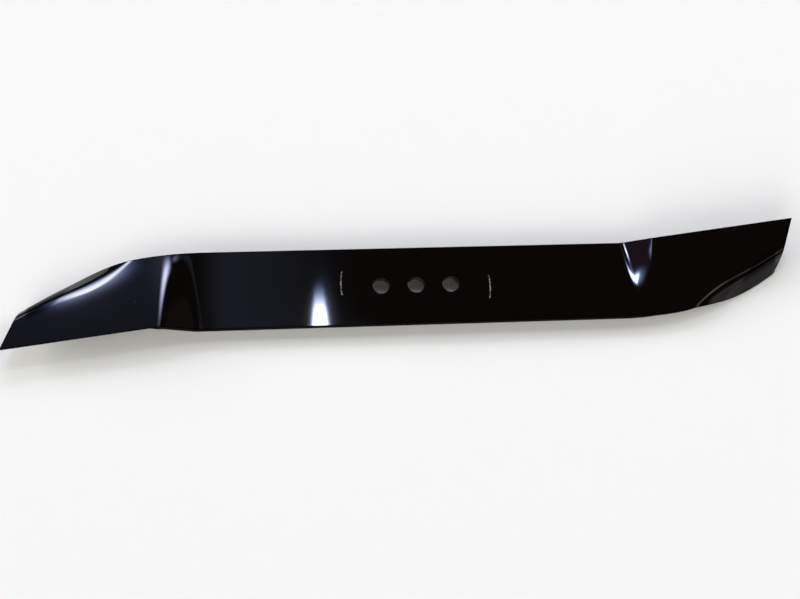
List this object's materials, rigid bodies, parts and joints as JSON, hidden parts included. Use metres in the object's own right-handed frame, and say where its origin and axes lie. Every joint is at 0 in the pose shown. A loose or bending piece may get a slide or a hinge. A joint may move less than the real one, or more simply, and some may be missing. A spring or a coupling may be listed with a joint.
{
  "type": "rotary mower blade",
  "caption": "Flat steel rotary mower blade with bolt holes in a row, twisted cutting ends and folded sails, painted black; it bolts to a mower's spindle and cuts grass.",
  "frame": {"origin": "middle of the centre hole, on the deck-side face of the bar", "axes": "+X along the bar, +Z along the hole's axis towards the grass side, which faces up as the blade rests on its sails"},
  "size_m": [0.502, 0.0754, 0.0184],
  "materials": {
    "black_paint": "glossy black paint"
  },
  "bodies": {
    "root": {"blade": "black_paint"}
  },
  "joints": []
}
